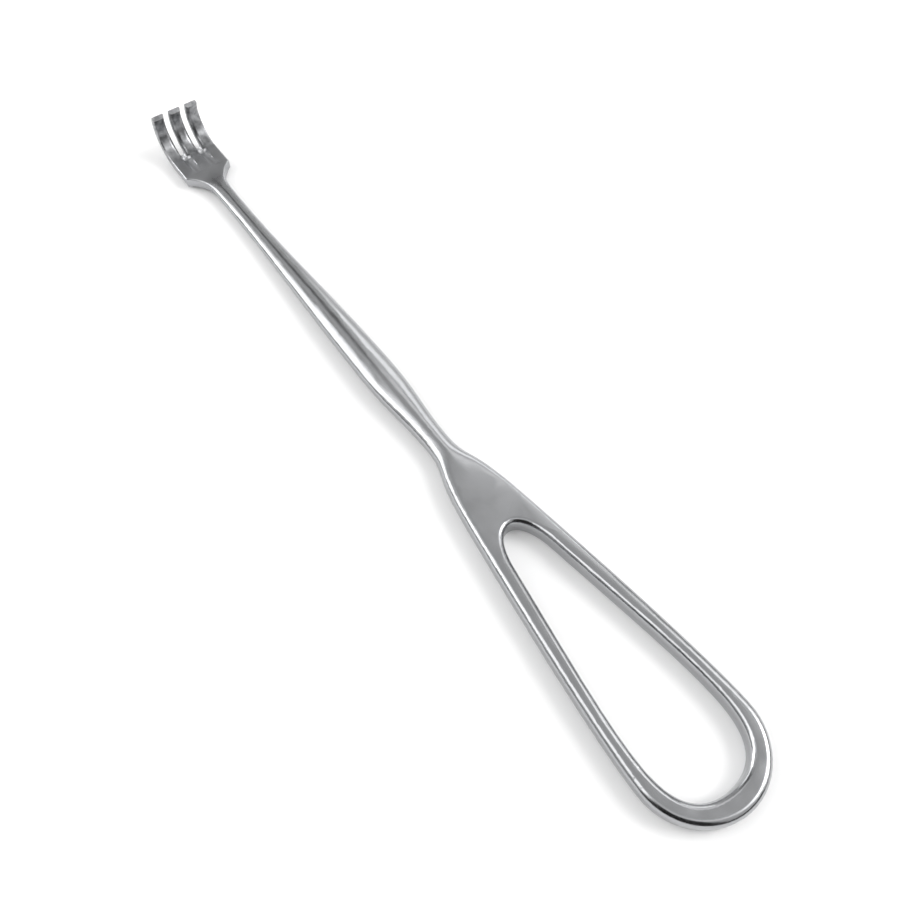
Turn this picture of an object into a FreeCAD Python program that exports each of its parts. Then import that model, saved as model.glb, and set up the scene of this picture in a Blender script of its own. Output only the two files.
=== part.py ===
import FreeCAD, Part
import math
import os
from FreeCAD import Vector

# Three-prong rake retractor, forged and ground from one bar of stainless steel.
# It lies on its back, prongs up. X runs along the shank from the ring to the prongs,
# Y across it and Z up. Sizes are in millimetres, and places along the shank are
# measured from the far end of the ring. The finished shape is centred along X.

# Ring handle
RING_WIDTH = 27.5            # across the widest part of the ring
RING_THICKNESS = 4.8         # between the two ground faces
RING_TOP_EDGE = 1.55         # outer edge rounding, upper side
RING_BOTTOM_EDGE = 1.9       # outer edge rounding, lower side
ARM_WIDTH = 3.5              # bar width of the two long arms, seen from above
ARM_FULLNESS = 10.0          # how far the ring keeps its full width
ARM_STRAIGHTNESS = 25.0      # how far each arm stays straight before the web

# Finger hole
RING_END_WIDTH = 4.8         # bar width at the far end of the ring
HOLE_LENGTH = 63.65
HOLE_END_DEPTH = 12.7        # length of its blunt round end
HOLE_ROOT_DEPTH = 7.9        # length of its narrow round end, at the web
HOLE_ROOT_WIDTH = 9.85       # width where that narrow end begins
HOLE_TOP_EDGE = 1.25         # edge rounding along the arms, upper side
HOLE_END_EDGE = 1.5          # the same at the far end of the ring, polished wider
HOLE_ROOT_EDGE = 1.3         # and at the web
HOLE_BOTTOM_EDGE = 1.0       # edge rounding, lower side

# Web between the ring and the waist
HOLE_TO_WEB = 5.15           # solid flat bar between the hole and the rounded part of the web
WEB_LENGTH = 20.9
WEB_WIDTH = 14.1
WEB_TAPER = 0.145            # fall of the half width for each millimetre of length
WEB_FULLNESS = 16.5          # how far the web keeps that taper
WEB_HOLLOW = 8.5             # how gently it meets the waist

# Waist, belly and neck of the shank
WAIST_WIDTH = 5.55
WAIST_HEIGHT = 4.8
WAIST_LIFT = 0.15            # underside of the waist above the table
WAIST_CORNER = 2.0           # the web's edges grow to this rounding
WAIST_TO_BELLY = 21.0
BELLY_WIDTH = 8.05
BELLY_HEIGHT = 5.5
BELLY_LIFT = 0.015           # the bar just touches the table a little beyond this place
BELLY_TO_NECK = 68.5
NECK_WIDTH = 4.4
NECK_HEIGHT = 3.5
NECK_LIFT = 0.1              # underside of the neck above the table
NECK_CORNER = 1.4            # its rounding, which falls to the plate's edges

# Head plate
NECK_TO_SHOULDER = 16.3
FLARE_RADIUS = 10.0          # hollow curve from the neck out to each shoulder
PLATE_LENGTH = 7.5           # from the shoulders to the start of the bend
PLATE_THICKNESS = 2.5
PLATE_LIFT = 0.8             # underside of the plate above the table
HEAD_TOP_EDGE = 0.4          # outer edge rounding of plate and prongs, on the hollow side
HEAD_BOTTOM_EDGE = 0.25      # edge rounding on the outside of the bend

# Prongs
PRONG_COUNT = 3
PRONG_WIDTH = 3.3
PRONG_PITCH = 4.8
PRONG_RADIUS = 8.2           # outside of the bend
PRONG_TURN = 124.0           # degrees from the plate to the prong's end
PRONG_TIP_THICKNESS = 1.25
SLOT_START = 3.8             # a slot breaks through the underside this far beyond the bend's start
SLOT_RUN = 5.0               # length of its sloping floor behind that
SLOT_EDGE = 1.0              # rounding of the slot's edges on the hollow side
GROOVE_LENGTH = 6.8          # shallow groove in the plate that leads into each slot
GROOVE_WIDTH = 3.4           # width of the round cutter that ground it
GROOVE_DEPTH = 1.0           # at the bend

# Places along the shank
WEB_START = RING_END_WIDTH + HOLE_LENGTH + HOLE_TO_WEB
WAIST_PLACE = WEB_START + WEB_LENGTH
BELLY_PLACE = WAIST_PLACE + WAIST_TO_BELLY
NECK_PLACE = BELLY_PLACE + BELLY_TO_NECK
SHOULDER_PLACE = NECK_PLACE + NECK_TO_SHOULDER
BEND_PLACE = SHOULDER_PLACE + PLATE_LENGTH
OVERALL_LENGTH = BEND_PLACE + PRONG_RADIUS


def xyz(x, y, z=0.0):
    return Vector(x, y, z)


def ease(start, end, share):
    """Goes from start to end with no slope at either end."""
    return start + (end - start) * (1 - math.cos(math.pi * share)) / 2


def bezier(*poles):
    curve = Part.BezierCurve()
    curve.setPoles(list(poles))
    return curve.toShape()


def closed_wire(edges):
    return Part.Wire(Part.__sortEdges__(edges))


def hole_width():
    return RING_WIDTH - 2 * ARM_WIDTH


def both_sides(edges):
    """The outline's edges and their mirror images across the shank's axis."""
    return edges + [edge.mirror(xyz(0, 0), xyz(0, 1)) for edge in edges]


def ring_outline():
    """A half circle, two bowed arms and a straight cut at the web."""
    radius = RING_WIDTH / 2
    half_web = WEB_WIDTH / 2
    lean = radius * math.sqrt(0.5)
    end = Part.Arc(xyz(0, 0), xyz(radius - lean, lean), xyz(radius, radius)).toShape()
    arm = bezier(xyz(radius, radius),
                 xyz(radius + ARM_FULLNESS, radius),
                 xyz(WEB_START - ARM_STRAIGHTNESS, half_web + WEB_TAPER * ARM_STRAIGHTNESS),
                 xyz(WEB_START, half_web))
    cut = Part.makeLine(xyz(WEB_START, half_web), xyz(WEB_START, -half_web))
    return closed_wire(both_sides([end, arm]) + [cut])


def hole_outline():
    """A drop shape: blunt at the far end, narrow at the web."""
    half = hole_width() / 2
    half_root = HOLE_ROOT_WIDTH / 2
    widest = RING_END_WIDTH + HOLE_END_DEPTH
    tip = RING_END_WIDTH + HOLE_LENGTH
    root = tip - HOLE_ROOT_DEPTH
    end = bezier(xyz(RING_END_WIDTH, 0),
                 xyz(RING_END_WIDTH, 0.7 * half),
                 xyz(widest - 0.67 * HOLE_END_DEPTH, half),
                 xyz(widest, half))
    arm = bezier(xyz(widest, half),
                 xyz(widest + 0.9 * ARM_FULLNESS, half),
                 xyz(root - 0.8 * ARM_STRAIGHTNESS, half_root + WEB_TAPER * 0.8 * ARM_STRAIGHTNESS),
                 xyz(root, half_root))
    point = bezier(xyz(root, half_root),
                   xyz(root + 0.4 * HOLE_ROOT_DEPTH, half_root - WEB_TAPER * 0.4 * HOLE_ROOT_DEPTH),
                   xyz(tip, 0.6 * half_root),
                   xyz(tip, 0))
    return closed_wire(both_sides([end, arm, point]))


def slab(outline, bottom, top):
    face = Part.Face(outline)
    face.translate(xyz(0, 0, bottom))
    return face.extrude(xyz(0, 0, top - bottom))


def level_edges(shape, height, near, far):
    """Edges lying flat at a height, with their middle between near and far along X."""
    found = []
    for edge in shape.Edges:
        box = edge.BoundBox
        flat = abs(box.ZMin - height) < 0.001 and abs(box.ZMax - height) < 0.001
        if flat and near < (box.XMin + box.XMax) / 2 < far:
            found.append(edge)
    return found


def hole_rim(shape, height):
    """Edges of the hole at a height, without the outer edges of the ring."""
    found = []
    for edge in level_edges(shape, height, RING_END_WIDTH, RING_END_WIDTH + HOLE_LENGTH):
        box = edge.BoundBox
        straight = edge.Curve.TypeId == "Part::GeomLine"
        if not straight and box.XMin > RING_END_WIDTH - 0.1 and max(box.YMax, -box.YMin) < hole_width() / 2 + 0.1:
            found.append(edge)
    return found


def rounded_rim(piece, place, size):
    """Rounds the upper rim from the arms' size at a place along the shank to another size."""
    rim = hole_rim(piece, RING_THICKNESS)[0]
    sizes = [HOLE_TOP_EDGE, size]
    if abs(rim.valueAt(rim.FirstParameter).x - place) > 0.1:
        sizes.reverse()
    return piece.makeFillet(sizes[0], sizes[1], [rim])


def ring():
    """The ring with its web, its hole and their rounded edges."""
    body = slab(ring_outline(), 0, RING_THICKNESS)
    body = body.makeFillet(RING_TOP_EDGE, level_edges(body, RING_THICKNESS, 0, WEB_START - 1))
    body = body.makeFillet(RING_BOTTOM_EDGE, level_edges(body, 0, 0, WEB_START - 1))
    body = body.cut(slab(hole_outline(), -1, RING_THICKNESS + 1))
    body = body.makeFillet(HOLE_BOTTOM_EDGE, hole_rim(body, 0))

    # One side is finished and mirrored, in three lengths: the rounding of the rim
    # widens evenly towards both ends of the hole.
    widest = RING_END_WIDTH + HOLE_END_DEPTH
    root = RING_END_WIDTH + HOLE_LENGTH - HOLE_ROOT_DEPTH
    half = body.common(Part.makeBox(WEB_START + 2, RING_WIDTH, 2 * RING_THICKNESS, xyz(-1, 0, -1)))
    far = Part.makeBox(widest + 1, RING_WIDTH, 2 * RING_THICKNESS, xyz(-1, 0, -1))
    near = Part.makeBox(WEB_START, 2 * RING_WIDTH, 2 * RING_THICKNESS, xyz(0, -RING_WIDTH, -1))
    near.rotate(xyz(0, 0), xyz(0, 0, 1), -math.degrees(math.atan(WEB_TAPER)))
    near.translate(xyz(root, HOLE_ROOT_WIDTH / 2))
    end = half.common(far).Solids[0]
    web = half.common(near).Solids[0]
    arm = half.cut(far).cut(near).Solids[0]
    arm = arm.makeFillet(HOLE_TOP_EDGE, hole_rim(arm, RING_THICKNESS))
    end = rounded_rim(end, widest, HOLE_END_EDGE)
    web = rounded_rim(web, root, HOLE_ROOT_EDGE)
    half = end.fuse(arm).fuse(web)
    return half.fuse(half.mirror(xyz(0, 0), xyz(0, 1))).removeSplitter()


def blend(start, end, share):
    return start + (end - start) * share


def section(place, half_width, bottom, top, top_corner, bottom_corner, roundness):
    """Upright section across the shank, between a rounded rectangle and almost an ellipse."""
    def half(side, level, corner):
        reach = (top - bottom) / 2
        flat = blend(half_width - corner, 0.7 * half_width, roundness)
        crown = 0.29 * reach * roundness
        end = blend(corner, 0.9 * reach, roundness)
        run = 0.55 * (half_width - flat)

        def at(y, depth):
            return xyz(place, side * y, level - side * depth)

        def corner_poles(hand):
            return [at(hand * half_width, end),
                    at(hand * half_width, end - 0.55 * (end - crown)),
                    at(hand * (flat + run), crown + 2 * run * crown / flat),
                    at(hand * flat, crown)]

        face = bezier(at(flat, crown), at(flat / 3, -crown / 3), at(-flat / 3, -crown / 3), at(-flat, crown))
        return [bezier(*corner_poles(1)), face, bezier(*reversed(corner_poles(-1)))]

    def side_line(y, z0, z1):
        return Part.makeLine(xyz(place, y, z0), xyz(place, y, z1))

    upper = half(1, top, top_corner)
    lower = half(-1, bottom, bottom_corner)
    high = upper[0].Vertexes[0].Z
    low = lower[0].Vertexes[0].Z
    return Part.Wire([side_line(half_width, low, high)] + upper
                     + [side_line(-half_width, high, low)] + lower)


def shank_sections():
    """Sections from the web to the shoulders, without the first and the last."""
    found = []
    waist_top = WAIST_LIFT + WAIST_HEIGHT
    belly_top = BELLY_LIFT + BELLY_HEIGHT
    neck_top = NECK_LIFT + NECK_HEIGHT

    # Web to waist: the ground faces end in a V as the corners grow round.
    side = Part.BezierCurve()
    side.setPoles([xyz(WEB_START, WEB_WIDTH / 2),
                   xyz(WEB_START + WEB_FULLNESS, WEB_WIDTH / 2 - WEB_TAPER * WEB_FULLNESS),
                   xyz(WAIST_PLACE - WEB_HOLLOW, WAIST_WIDTH / 2),
                   xyz(WAIST_PLACE, WAIST_WIDTH / 2)])
    for step in range(1, 21):
        spot = side.value(step / 20)
        share = (spot.x - WEB_START) / WEB_LENGTH
        found.append(section(spot.x, spot.y,
                             ease(0, WAIST_LIFT, share), ease(RING_THICKNESS, waist_top, share),
                             ease(RING_TOP_EDGE, WAIST_CORNER, share),
                             ease(RING_BOTTOM_EDGE, WAIST_CORNER, share), share ** 3))

    # Waist to belly, which touches the table.
    span = BELLY_PLACE - WAIST_PLACE
    for step in range(1, 5):
        share = step / 4
        found.append(section(WAIST_PLACE + span * share, ease(WAIST_WIDTH, BELLY_WIDTH, share) / 2,
                             ease(WAIST_LIFT, BELLY_LIFT, share), ease(waist_top, belly_top, share),
                             WAIST_CORNER, WAIST_CORNER, 1))

    # Long taper from the belly to the neck.
    span = NECK_PLACE - BELLY_PLACE
    for step in range(1, 9):
        share = step / 8
        found.append(section(BELLY_PLACE + span * share, ease(BELLY_WIDTH, NECK_WIDTH, share) / 2,
                             ease(BELLY_LIFT, NECK_LIFT, share), ease(belly_top, neck_top, share),
                             NECK_CORNER, NECK_CORNER, 1))

    # Neck to shoulders: the sides flare on an arc and the height falls to the plate's.
    growth = (head_width() - NECK_WIDTH) / 2
    reach = math.sqrt(FLARE_RADIUS ** 2 - (FLARE_RADIUS - growth) ** 2)
    span = SHOULDER_PLACE - NECK_PLACE
    for share in (0.25, 0.45, 0.62, 0.75, 0.85, 0.93):
        place = NECK_PLACE + span * share
        along = max(0.0, place - (SHOULDER_PLACE - reach))
        half = NECK_WIDTH / 2 + FLARE_RADIUS - math.sqrt(FLARE_RADIUS ** 2 - along ** 2)
        found.append(section(place, half, ease(NECK_LIFT, PLATE_LIFT, share),
                             ease(neck_top, PLATE_LIFT + PLATE_THICKNESS, share),
                             ease(NECK_CORNER, HEAD_TOP_EDGE, share),
                             ease(NECK_CORNER, HEAD_BOTTOM_EDGE, share), ease(1, 0, share)))
    return found


def shank(first, last):
    """Skin over the sections, between the cut ends of the ring and of the head."""
    return Part.makeLoft([first] + shank_sections() + [last], True, False)


def head_width():
    return (PRONG_COUNT - 1) * PRONG_PITCH + PRONG_WIDTH


def head_profile():
    """Side view of the plate and the bend: two arcs that draw together at the tip."""
    bottom = PLATE_LIFT
    top = PLATE_LIFT + PLATE_THICKNESS
    centre = xyz(BEND_PLACE, 0, bottom + PRONG_RADIUS)

    def on_bend(radius, degrees):
        angle = math.radians(degrees)
        return centre + xyz(radius * math.sin(angle), 0, -radius * math.cos(angle))

    tip_out = on_bend(PRONG_RADIUS, PRONG_TURN)
    tip_in = on_bend(PRONG_RADIUS - PRONG_TIP_THICKNESS, PRONG_TURN)

    # The inner arc leaves the plate level and ends at the tip's inner edge.
    rise = tip_in.z - top
    out = tip_in.x - BEND_PLACE
    radius = (out ** 2 + rise ** 2) / (2 * rise)
    sweep = math.atan2(out, radius - rise)
    middle = xyz(BEND_PLACE + radius * math.sin(sweep / 2), 0, top + radius * (1 - math.cos(sweep / 2)))
    inner_start = xyz(BEND_PLACE, 0, top)
    outer_start = xyz(BEND_PLACE, 0, bottom)
    return Part.Wire([
        Part.makeLine(xyz(SHOULDER_PLACE, 0, bottom), outer_start),
        Part.Arc(outer_start, on_bend(PRONG_RADIUS, PRONG_TURN / 2), tip_out).toShape(),
        Part.makeLine(tip_out, tip_in),
        Part.Arc(tip_in, middle, inner_start).toShape(),
        Part.makeLine(inner_start, xyz(SHOULDER_PLACE, 0, top)),
        Part.makeLine(xyz(SHOULDER_PLACE, 0, top), xyz(SHOULDER_PLACE, 0, bottom)),
    ])


def slot(offset):
    """Round-bottomed cutter, sloping down through the plate towards the prongs."""
    half = (PRONG_PITCH - PRONG_WIDTH) / 2
    top = PLATE_LIFT + PLATE_THICKNESS
    start = BEND_PLACE + SLOT_START - SLOT_RUN
    floor = PLATE_LIFT + PRONG_RADIUS - math.sqrt(PRONG_RADIUS ** 2 - SLOT_START ** 2)
    slope = (floor - top) / SLOT_RUN
    x = start - 2
    z = top - 2 * slope
    wall = 3 * PRONG_RADIUS
    profile = Part.Wire([
        Part.Arc(xyz(x, -half, z + half), xyz(x, 0, z), xyz(x, half, z + half)).toShape(),
        Part.makeLine(xyz(x, half, z + half), xyz(x, half, z + wall)),
        Part.makeLine(xyz(x, half, z + wall), xyz(x, -half, z + wall)),
        Part.makeLine(xyz(x, -half, z + wall), xyz(x, -half, z + half)),
    ])
    length = 2 + SLOT_RUN + 2 * PRONG_RADIUS
    cutter = Part.Face(profile).extrude(xyz(length, 0, length * slope))
    cutter.translate(xyz(0, offset, 0))
    return cutter


def groove(offset):
    """Round cutter with a ball end, which sinks into the plate towards the bend."""
    radius = GROOVE_WIDTH / 2
    start = xyz(BEND_PLACE - 2 * GROOVE_LENGTH, offset, PLATE_LIFT + PLATE_THICKNESS + GROOVE_DEPTH + radius)
    end = xyz(BEND_PLACE, offset, PLATE_LIFT + PLATE_THICKNESS - GROOVE_DEPTH + radius)
    way = end - start
    return Part.makeCylinder(radius, way.Length, start, way).fuse(Part.makeSphere(radius, end))


def edge_middle(edge):
    return edge.valueAt((edge.FirstParameter + edge.LastParameter) / 2)


def bend_edges(shape, outer):
    """Long edges that follow the plate and the bend, on its outside or its hollow side."""
    found = []
    for edge in shape.Edges:
        box = edge.BoundBox
        if box.YMax - box.YMin > 0.001 or edge.Curve.TypeId != "Part::GeomCircle":
            continue
        outside = abs(edge.Curve.Radius - PRONG_RADIUS) < 0.001
        if outside == outer:
            found.append(edge)
    return found


def head():
    """The plate with its prongs, rounded along every long edge."""
    width = head_width()
    body = Part.Face(head_profile()).extrude(xyz(0, width, 0))
    body.translate(xyz(0, -width / 2, 0))
    body = body.makeFillet(HEAD_TOP_EDGE, bend_edges(body, False))
    body = body.makeFillet(HEAD_BOTTOM_EDGE, bend_edges(body, True))
    for number in range(1, PRONG_COUNT):
        body = body.cut(slot((number - PRONG_COUNT / 2) * PRONG_PITCH)).Solids[0]

    def within(edges):
        return [edge for edge in edges if abs(edge_middle(edge).y) < width / 2 - PRONG_WIDTH / 2]

    body = body.makeFillet(SLOT_EDGE, within(bend_edges(body, False)))
    body = body.makeFillet(HEAD_BOTTOM_EDGE, within(bend_edges(body, True)))
    for number in range(1, PRONG_COUNT):
        body = body.cut(groove((number - PRONG_COUNT / 2) * PRONG_PITCH)).Solids[0]
    return body


def cut_end(shape, place):
    """Outline of the flat face across the shank at a place."""
    for face in shape.Faces:
        box = face.BoundBox
        if abs(box.XMin - place) < 0.01 and abs(box.XMax - place) < 0.01:
            return face.OuterWire
    raise ValueError("no cut face")


def retractor():
    handle = ring()
    fork = head()
    bar = shank(cut_end(handle, WEB_START), cut_end(fork, SHOULDER_PLACE))
    whole = handle.fuse(bar).fuse(fork).removeSplitter()
    if whole.ShapeType != "Solid":
        whole = whole.Solids[0]
    whole.translate(xyz(-OVERALL_LENGTH / 2, 0, 0))
    return whole


def main():
    os.makedirs("parts", exist_ok=True)
    shape = retractor()
    if not shape.isValid():
        raise ValueError("the retractor isn't one sound body")
    shape.exportStep("parts/retractor.step")


if __name__ == "__main__":
    main()
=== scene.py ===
"""A three-prong rake retractor of satin stainless steel, lying on a white table.

Run as a script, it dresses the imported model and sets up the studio.
"""

import math

import bmesh
import bpy
from bpy.props import FloatProperty, FloatVectorProperty, PointerProperty
from bpy.types import Operator, Panel, PropertyGroup
from mathutils import Matrix, Vector


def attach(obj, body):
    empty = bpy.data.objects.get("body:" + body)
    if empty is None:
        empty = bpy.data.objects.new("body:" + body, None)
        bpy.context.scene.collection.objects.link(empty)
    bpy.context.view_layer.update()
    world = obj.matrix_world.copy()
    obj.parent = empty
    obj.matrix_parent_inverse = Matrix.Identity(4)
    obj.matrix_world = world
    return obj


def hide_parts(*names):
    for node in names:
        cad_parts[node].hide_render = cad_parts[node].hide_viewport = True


bl_info = {
    "name": "Rake retractor",
    "version": (1, 0, 0),
    "blender": (4, 5, 0),
    "location": "View3D > Sidebar > Retractor",
    "description": "Dresses a rake retractor in satin steel and lights it",
    "category": "Object",
}

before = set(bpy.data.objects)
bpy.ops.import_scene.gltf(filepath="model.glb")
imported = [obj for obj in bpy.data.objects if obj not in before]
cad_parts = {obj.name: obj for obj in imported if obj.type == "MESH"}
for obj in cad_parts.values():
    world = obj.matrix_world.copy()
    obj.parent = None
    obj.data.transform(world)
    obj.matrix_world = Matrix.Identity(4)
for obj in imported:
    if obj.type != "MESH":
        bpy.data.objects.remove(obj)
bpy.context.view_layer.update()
MM = 0.001

# Places along the instrument, whose prongs point to +X, and the height of the ring's flat top
WEB_MIDDLE = -30 * MM
HEAD_START = 86 * MM
HOOK_START = 99 * MM
RING_TOP = 4.8 * MM
FLAT_MARGIN = 0.01 * MM

JOIN_DISTANCE = 0.00001 * MM
SHARP_EDGE = math.radians(30)

LIGHT_DISTANCE = 1.5
TABLE_HALF_WIDTH = 3.0
SENSOR_WIDTH = 36.0
CAMERA_PLACE = Vector((-97.9, 57.73, 167.89)) * MM
CAMERA_AIM = Vector((-15.2, -2.6, -1.1)) * MM
CAMERA_ROLL = math.radians(0.17)


def linear(hex_colour):
    """An sRGB hex colour as linear red, green, blue and alpha."""
    channels = [int(hex_colour[i:i + 2], 16) / 255 for i in (1, 3, 5)]
    return tuple(
        c / 12.92 if c <= 0.04045 else ((c + 0.055) / 1.055) ** 2.4 for c in channels
    ) + (1.0,)


def add_node(tree, kind, links=(), **settings):
    """Adds a node, sets its properties and socket values, and links sockets into it."""
    node = tree.nodes.new(kind)
    for name, value in settings.items():
        if hasattr(node, name):
            setattr(node, name, value)
        else:
            node.inputs[name.replace("_", " ")].default_value = value
    for socket, source in links:
        tree.links.new(source, node.inputs[socket])
    return node


# Sizes and colours


class SteelSettings(PropertyGroup):
    """Finish of the instrument."""

    colour: FloatVectorProperty(
        name="Steel colour", description="Reflection colour of the stainless steel",
        subtype="COLOR", size=4, min=0, max=1, default=linear("#ADAEB0"))
    # Painted shade: the dark spots on the prongs stand partly for forging scale, partly for the
    # dark reflections and shade in the hooks
    scale_and_shade_colour: FloatVectorProperty(
        name="Scale and shade colour", description="Dark spots of forging scale left in the hooks",
        subtype="COLOR", size=4, min=0, max=1, default=linear("#4B4C4E"))
    roughness: FloatProperty(
        name="Roughness", description="Blur of the satin finish", subtype="FACTOR",
        min=0, max=1, default=0.21)
    head_roughness: FloatProperty(
        name="Head roughness", description="Extra blur on the filed plate and prongs",
        subtype="FACTOR", min=0, max=1, default=0.14)
    # How strongly the prongs are darkened with painted shade and scale spots
    scale_and_shade_amount: FloatProperty(
        name="Scale and shade amount", description="Strength of the dark spots in the hooks",
        subtype="FACTOR", min=0, max=1, default=0.55)
    grain: FloatProperty(
        name="Grain", description="Size of the polishing marks", unit="LENGTH",
        default=0.4 * MM, min=0.05 * MM, max=5 * MM)


class StageSettings(PropertyGroup):
    """Table, lights and camera."""

    table_colour: FloatVectorProperty(
        name="Table colour", description="Colour of the table", subtype="COLOR", size=4,
        min=0, max=1, default=linear("#F3F3F3"))
    room_light: FloatProperty(
        name="Room light", description="Brightness of the unlit room",
        min=0, max=5, default=0.02)
    key_light: FloatProperty(
        name="Key light", description="Radiance of the bright soft box behind the shank",
        min=0, max=50, default=6.8)
    side_light: FloatProperty(
        name="Side light", description="Radiance of the low soft box beside the prongs",
        min=0, max=50, default=7.0)
    fill_light: FloatProperty(
        name="Fill light", description="Radiance of the dim wall between the two soft boxes",
        min=0, max=50, default=1.85)
    table_glow: FloatProperty(
        name="Table glow", description="Light from within the table", min=0, max=5, default=0.07)
    top_light: FloatProperty(
        name="Top light", description="Radiance of the dim ceiling", min=0, max=50, default=0.58)
    lens: FloatProperty(
        name="Lens", description="Focal length", unit="CAMERA", default=35.4, min=10, max=200)


def spread(tree, value, from_min, from_max, to_min, to_max, links=()):
    """A Map Range node's result, which takes one range of a value to another."""
    return add_node(tree, "ShaderNodeMapRange", [("Value", value), *links], From_Min=from_min,
                    From_Max=from_max, To_Min=to_min, To_Max=to_max).outputs["Result"]


def noise(tree, place, size, detail, roughness):
    """A noise pattern whose marks are about this size."""
    return add_node(tree, "ShaderNodeTexNoise", [("Vector", place)], Scale=1 / size,
                    Detail=detail, Roughness=roughness).outputs["Fac"]


def satin_steel(settings):
    """Stainless steel, ground and then satin polished.

    It blurs reflections softly, and its polish is a little uneven. The plate and the prongs
    are filed duller, and the prongs are darkened in faint spots: partly forging scale, partly
    painted shade for the dark reflections in the hooks. Real satin marks are finer than 0.1 mm:
    the grain is drawn coarser, so that it shows at all from afar.
    """
    material = bpy.data.materials.new("satin_stainless_steel")
    material.use_nodes = True
    tree = material.node_tree
    tree.nodes.clear()
    place = add_node(tree, "ShaderNodeTexCoord").outputs["Object"]
    along = add_node(tree, "ShaderNodeSeparateXYZ", [("Vector", place)]).outputs["X"]

    # Dark spots in patches of about 1.6 mm, only on the prongs: partly forging scale, partly
    # painted shade for the dark reflections in the hooks
    amount = spread(tree, along, HOOK_START, HOOK_START + 2 * MM, 0.0, settings.scale_and_shade_amount)
    spots = spread(tree, noise(tree, place, 1.6 * MM, 3.0, 0.5), 0.36, 0.64, 0.0, 0.0,
                   [("To Max", amount)])
    colour = add_node(tree, "ShaderNodeMix", [("Factor", spots)], data_type="RGBA")
    colour.inputs[6].default_value = tuple(settings.colour)
    colour.inputs[7].default_value = tuple(settings.scale_and_shade_colour)

    # Uneven polish, in patches of about 5 mm, and duller from the neck to the plate
    polish = spread(tree, noise(tree, place, 5 * MM, 3.0, 0.6), 0.3, 0.7,
                    settings.roughness - 0.05, settings.roughness + 0.05)
    dull = spread(tree, along, HEAD_START - 2 * MM, HEAD_START + 4 * MM,
                  0.0, settings.head_roughness)
    rough = add_node(tree, "ShaderNodeMath", [(0, polish), (1, dull)], operation="ADD")

    grain = noise(tree, place, settings.grain, 3.0, 0.6)
    bump = add_node(tree, "ShaderNodeBump", [("Height", grain)], Strength=0.3, Distance=0.02 * MM)
    shader = add_node(tree, "ShaderNodeBsdfPrincipled",
                      [("Base Color", colour.outputs[2]), ("Roughness", rough.outputs["Value"]),
                       ("Normal", bump.outputs["Normal"])], Metallic=1.0)
    add_node(tree, "ShaderNodeOutputMaterial", [("Surface", shader.outputs["BSDF"])])
    return material


def put_material(piece, material):
    """Makes this the piece's only material."""
    piece.data.materials.clear()
    piece.data.materials.append(material)


def on_a_flat(point):
    """Whether a point is on the head, or on the top or the underside of the ring."""
    on_ring_face = not FLAT_MARGIN < point.z < RING_TOP - FLAT_MARGIN
    return point.x > HEAD_START or point.x < WEB_MIDDLE and on_ring_face


def polished_copy(node, name):
    """A copy of the CAD node with its triangles joined, smooth except at its sharp edges.

    The ring's flats and the head shade by their large faces, so their edges don't tint them.
    """
    shape = bmesh.new()
    shape.from_mesh(node.data)
    bmesh.ops.remove_doubles(shape, verts=shape.verts, dist=JOIN_DISTANCE)
    for face in shape.faces:
        face.smooth = True
    for edge in shape.edges:
        edge.smooth = edge.calc_face_angle(0.0) < SHARP_EDGE
    mesh = bpy.data.meshes.new(name)
    shape.to_mesh(mesh)
    shape.free()
    piece = bpy.data.objects.new(name, mesh)
    bpy.context.scene.collection.objects.link(piece)
    group = piece.vertex_groups.new(name="flat")
    group.add([v.index for v in mesh.vertices if on_a_flat(v.co)], 1.0, "REPLACE")
    flats = piece.modifiers.new("flats_stay_flat", "WEIGHTED_NORMAL")
    flats.vertex_group = "flat"
    flats.mode = "FACE_AREA"
    flats.weight = 50
    flats.keep_sharp = True
    return piece


class RETRACTOR_OT_instrument(Operator):
    """Polishes the forged instrument and gives it its satin steel"""

    bl_idname = "retractor.instrument"
    bl_label = "Instrument"

    def execute(self, context):
        piece = polished_copy(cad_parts["retractor"], "polished_retractor")
        put_material(piece, satin_steel(context.scene.retractor_steel))
        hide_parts("retractor")
        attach(piece, "root")
        return {"FINISHED"}


def soft_box(name, azimuth, elevation, wide, tall, radiance):
    """A flat light that covers some degrees of the sky around a direction, seen from the part.

    The azimuth turns from the prongs' end of the shank towards +Y. The energy of an even
    flat light is its radiance times pi times its area.
    """
    a, e = math.radians(azimuth), math.radians(elevation)
    place = LIGHT_DISTANCE * Vector(
        (math.cos(a) * math.cos(e), math.sin(a) * math.cos(e), math.sin(e)))
    lamp = bpy.data.lights.new(name, "AREA")
    lamp.shape = "RECTANGLE"
    lamp.size = 2 * LIGHT_DISTANCE * math.tan(math.radians(wide / 2))
    lamp.size_y = 2 * LIGHT_DISTANCE * math.tan(math.radians(tall / 2))
    lamp.energy = radiance * math.pi * lamp.size * lamp.size_y
    holder = bpy.data.objects.new(name, lamp)
    holder.location = place
    holder.rotation_mode = "QUATERNION"
    holder.rotation_quaternion = (-place).to_track_quat("-Z", "Y")
    bpy.context.scene.collection.objects.link(holder)


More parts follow.
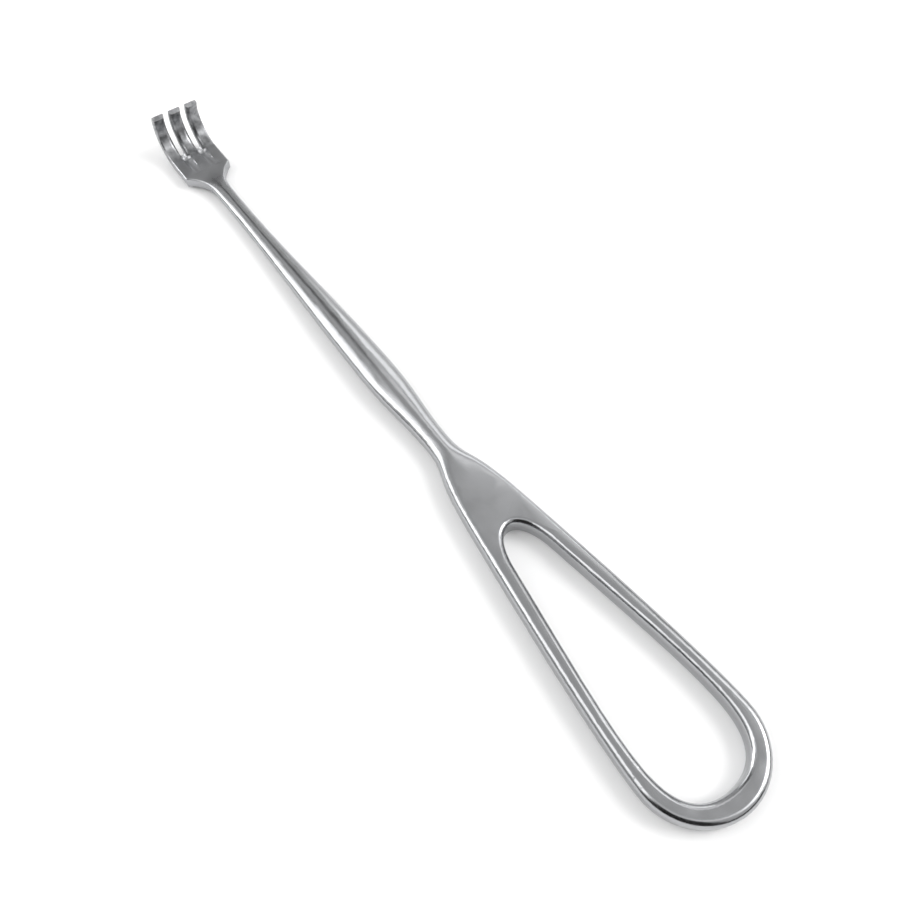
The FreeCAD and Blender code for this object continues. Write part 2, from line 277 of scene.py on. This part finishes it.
def lights(settings):
    """A bright key behind the shank, side boxes beside the prongs, dim walls and ceiling."""
    key, side, fill = settings.key_light, settings.side_light, settings.fill_light
    # Name, azimuth, elevation, degrees covered across and up, radiance
    for box in (
        ("key_box", -120, 40, 26, 28, key),
        ("key_skirt", -118, 36, 52, 50, 0.15 * key),
        ("side_low", 22, 12, 24, 22, side),
        ("side_middle", 46, 30, 30, 32, 0.31 * side),
        ("side_upper", 76, 48, 34, 30, 0.24 * side),
        ("side_skirt", 50, 36, 84, 60, 0.07 * side),
        ("side_end", -4, 12, 24, 20, 0.25 * side),
        ("wall_low", -58, 9, 26, 18, 0.45 * fill),
        ("wall_middle", -58, 28, 26, 20, fill),
        ("wall_upper", -60, 50, 44, 22, 0.35 * fill),
        ("wall_near", -82, 30, 24, 48, 0.26 * fill),
        ("wall_far_low", -33, 9, 24, 18, 0.3 * fill),
        ("wall_far_middle", -32, 28, 26, 20, 0.27 * fill),
        ("wall_far_upper", -20, 50, 44, 22, 0.09 * fill),
        ("wall_back", -165, 42, 34, 50, 0.35 * fill),
        ("wall_front", 125, 62, 44, 22, 0.2 * fill),
        ("ceiling", -90, 86, 64, 64, settings.top_light),
    ):
        soft_box(*box)


def room(settings):
    """Faint light from all round."""
    world = bpy.data.worlds.new("studio")
    world.use_nodes = True
    tree = world.node_tree
    tree.nodes.clear()
    sky = add_node(tree, "ShaderNodeBackground",
                   Color=linear("#FFFFFF"), Strength=settings.room_light)
    add_node(tree, "ShaderNodeOutputWorld", [("Surface", sky.outputs["Background"])])
    bpy.context.scene.world = world


def table(settings):
    """A plain white table top, matt, lit a little from within as a light table is."""
    mesh = bpy.data.meshes.new("table_top")
    shape = bmesh.new()
    bmesh.ops.create_grid(shape, x_segments=1, y_segments=1, size=TABLE_HALF_WIDTH)
    shape.to_mesh(mesh)
    shape.free()
    top = bpy.data.objects.new("table_top", mesh)
    bpy.context.scene.collection.objects.link(top)
    material = bpy.data.materials.new("white_table")
    material.use_nodes = True
    shader = material.node_tree.nodes["Principled BSDF"]
    shader.inputs["Base Color"].default_value = tuple(settings.table_colour)
    shader.inputs["Roughness"].default_value = 0.9
    shader.inputs["Specular IOR Level"].default_value = 0.0
    shader.inputs["Emission Color"].default_value = linear("#FFFFFF")
    shader.inputs["Emission Strength"].default_value = settings.table_glow
    put_material(top, material)


def camera(settings):
    """Looks down over the ring, with the prongs far away at the upper left."""
    data = bpy.data.cameras.new("photo_camera")
    data.lens = settings.lens
    data.sensor_width = SENSOR_WIDTH
    data.clip_start = 0.001
    data.clip_end = 20
    holder = bpy.data.objects.new("photo_camera", data)
    turn = (CAMERA_AIM - CAMERA_PLACE).to_track_quat("-Z", "Y").to_matrix().to_4x4()
    roll = Matrix.Rotation(CAMERA_ROLL, 4, "Z")
    holder.matrix_world = Matrix.Translation(CAMERA_PLACE) @ turn @ roll
    bpy.context.scene.collection.objects.link(holder)
    bpy.context.scene.camera = holder


class RETRACTOR_OT_stage(Operator):
    """Makes the table, the lights and the camera"""

    bl_idname = "retractor.stage"
    bl_label = "Stage"

    def execute(self, context):
        settings = context.scene.retractor_stage
        table(settings)
        room(settings)
        lights(settings)
        camera(settings)
        context.scene.view_settings.view_transform = "Standard"
        return {"FINISHED"}


OPERATORS = (RETRACTOR_OT_instrument, RETRACTOR_OT_stage)


class RETRACTOR_PT_panel(Panel):
    """Sizes, colours and the steps that make the scene"""

    bl_idname = "RETRACTOR_PT_panel"
    bl_label = "Retractor"
    bl_space_type = "VIEW_3D"
    bl_region_type = "UI"
    bl_category = "Retractor"

    def draw(self, context):
        for group in (context.scene.retractor_steel, context.scene.retractor_stage):
            for name in group.bl_rna.properties.keys():
                if name not in ("rna_type", "name"):
                    self.layout.prop(group, name)
        for operator in OPERATORS:
            self.layout.operator(operator.bl_idname)


CLASSES = (SteelSettings, StageSettings, *OPERATORS, RETRACTOR_PT_panel)


def register():
    """Adds the settings, the operators and the panel."""
    for item in CLASSES:
        bpy.utils.register_class(item)
    bpy.types.Scene.retractor_steel = PointerProperty(type=SteelSettings)
    bpy.types.Scene.retractor_stage = PointerProperty(type=StageSettings)


def unregister():
    """Takes them away again."""
    del bpy.types.Scene.retractor_stage
    del bpy.types.Scene.retractor_steel
    for item in reversed(CLASSES):
        bpy.utils.unregister_class(item)


def main():
    """Dresses and lights the model."""
    register()
    bpy.ops.retractor.instrument()
    bpy.ops.retractor.stage()


if __name__ == "__main__":
    main()
